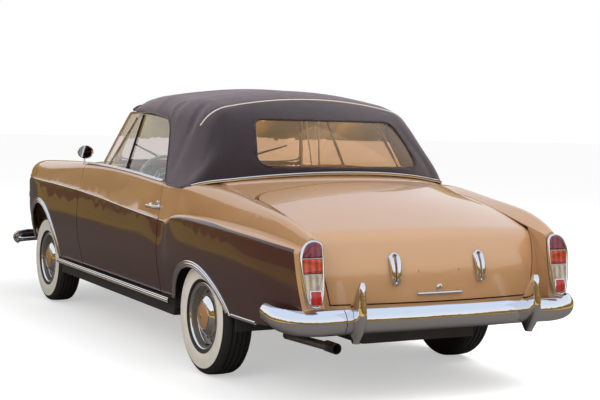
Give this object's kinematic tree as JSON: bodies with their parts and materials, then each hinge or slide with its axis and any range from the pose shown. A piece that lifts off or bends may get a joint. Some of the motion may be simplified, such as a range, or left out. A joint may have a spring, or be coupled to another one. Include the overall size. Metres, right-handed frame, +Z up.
{
  "type": "convertible car",
  "caption": "Two-door convertible car with opening doors, hood and trunk lid, steered front wheels, turning wheels and a raised fabric top.",
  "frame": {"origin": "on the ground under the middle of the car, at the bottom centre of its bounding box", "axes": "+X towards the left side of the car, +Y towards its rear, +Z up"},
  "size_m": [1.7606, 4.6723, 1.4923],
  "materials": {
    "body_paint": "glossy two-tone metallic paint, pale tan over dark aubergine",
    "tyre_rubber": "black with a cream sidewall band",
    "wheel_chrome": "steel disc wheel with a polished cap",
    "bright_metal": "polished chrome",
    "clear_glass": "clear safety glass",
    "flexible_window": "amber tinted flexible sheet",
    "lamp_lens": "fluted lens in a bright ring",
    "tail_lens": "red, orange and clear lens stack",
    "top_fabric": "dark aubergine canvas",
    "seat_leather": "tan leather",
    "dash_wood": "varnished wood",
    "wheel_plastic": "ivory plastic",
    "exhaust_steel": "plain steel",
    "cast_metal": "cast metal",
    "chassis_steel": "black underbody paint"
  },
  "bodies": {
    "shell": {"boot_floor": "chassis_steel", "bulkhead": "chassis_steel", "cowl_panel": "body_paint", "dashboard": "dash_wood", "door_mirror": "bright_metal", "door_posts": "chassis_steel", "driveline": "cast_metal", "engine_block": "cast_metal", "exhaust": "exhaust_steel", "floor_pan": "chassis_steel", "front_bumper": "bright_metal", "front_fender_left": "body_paint", "front_fender_right": "body_paint", "front_rails": "chassis_steel", "front_seat_left": "seat_leather", "front_seat_right": "seat_leather", "front_suspension": "chassis_steel", "fuel_tank": "chassis_steel", "grille": "bright_metal", "headlamps": "lamp_lens", "hinge_brackets": "chassis_steel", "nose_panel": "body_paint", "rear_axle": "chassis_steel", "rear_bumper": "bright_metal", "rear_deck": "body_paint", "rear_fender_left": "body_paint", "rear_fender_right": "body_paint", "rear_seat": "seat_leather", "rear_suspension": "chassis_steel", "rear_wheelhouses": "chassis_steel", "rear_window": "flexible_window", "seat_rails": "chassis_steel", "sills": "chassis_steel", "soft_top": "top_fabric", "steering_column": "chassis_steel", "tail_lamps": "tail_lens", "tail_panel": "body_paint", "windshield_frame": "bright_metal", "windshield_glass": "clear_glass"},
    "left_door": {"door_left": "body_paint", "door_glass_left": "clear_glass"},
    "right_door": {"door_right": "body_paint", "door_glass_right": "clear_glass"},
    "hood_lid": {"hood": "body_paint"},
    "trunk_cover": {"trunk_lid": "body_paint"},
    "left_knuckle": {"knuckle_left": "chassis_steel"},
    "right_knuckle": {"knuckle_right": "chassis_steel"},
    "track_rod": {"tie_rod": "chassis_steel"},
    "hand_wheel": {"steering_wheel": "wheel_plastic"},
    "front_left_wheel": {"wheel_front_left": "wheel_chrome", "tyre_front_left": "tyre_rubber"},
    "front_right_wheel": {"wheel_front_right": "wheel_chrome", "tyre_front_right": "tyre_rubber"},
    "rear_left_wheel": {"wheel_rear_left": "wheel_chrome", "tyre_rear_left": "tyre_rubber"},
    "rear_right_wheel": {"wheel_rear_right": "wheel_chrome", "tyre_rear_right": "tyre_rubber"}
  },
  "joints": [
    {"name": "left_door_hinge", "type": "hinge", "parent": "shell", "child": "left_door", "pos_m": [0.834, -0.558, 0.6], "axis": [0, 0, -1], "range_deg": [0, 62]},
    {"name": "right_door_hinge", "type": "hinge", "parent": "shell", "child": "right_door", "pos_m": [-0.834, -0.558, 0.6], "axis": [0, 0, 1], "range_deg": [0, 62]},
    {"name": "hood_hinge", "type": "hinge", "parent": "shell", "child": "hood_lid", "pos_m": [0, -0.858, 0.98904], "axis": [-1, 0, 0], "range_deg": [0, 55]},
    {"name": "trunk_hinge", "type": "hinge", "parent": "shell", "child": "trunk_cover", "pos_m": [0, 1.513, 0.96033], "axis": [1, 0, 0], "range_deg": [0, 70]},
    {"name": "steering_wheel_turn", "type": "hinge", "parent": "shell", "child": "hand_wheel", "pos_m": [0.37, -0.25, 0.872], "axis": [0, 0.891, 0.454], "range_deg": [-560, 560]},
    {"name": "left_steer", "type": "hinge", "parent": "shell", "child": "left_knuckle", "pos_m": [0.6, -1.445, 0.301], "axis": [0, 0, 1], "range_deg": [-32, 32]},
    {"name": "right_steer", "type": "hinge", "parent": "shell", "child": "right_knuckle", "pos_m": [-0.6, -1.445, 0.301], "axis": [0, 0, 1], "range_deg": [-32, 32]},
    {"name": "track_rod_slide", "type": "slide", "parent": "shell", "child": "track_rod", "axis": [-1, 0, 0], "range_m": [-0.0785, 0.0785]},
    {"name": "front_left_spin", "type": "hinge", "parent": "left_knuckle", "child": "front_left_wheel", "pos_m": [0.715, -1.445, 0.301], "axis": [1, 0, 0], "continuous": true},
    {"name": "front_right_spin", "type": "hinge", "parent": "right_knuckle", "child": "front_right_wheel", "pos_m": [-0.715, -1.445, 0.301], "axis": [1, 0, 0], "continuous": true},
    {"name": "rear_left_spin", "type": "hinge", "parent": "shell", "child": "rear_left_wheel", "pos_m": [0.735, 1.255, 0.301], "axis": [1, 0, 0], "continuous": true},
    {"name": "rear_right_spin", "type": "hinge", "parent": "shell", "child": "rear_right_wheel", "pos_m": [-0.735, 1.255, 0.301], "axis": [1, 0, 0], "continuous": true}
  ],
  "couplings": [
    {"joint": "right_steer", "follows": "left_steer", "ratio": 1},
    {"joint": "track_rod_slide", "follows": "left_steer", "m_per_rad": 0.14},
    {"joint": "steering_wheel_turn", "follows": "left_steer", "ratio": 17.5}
  ]
}
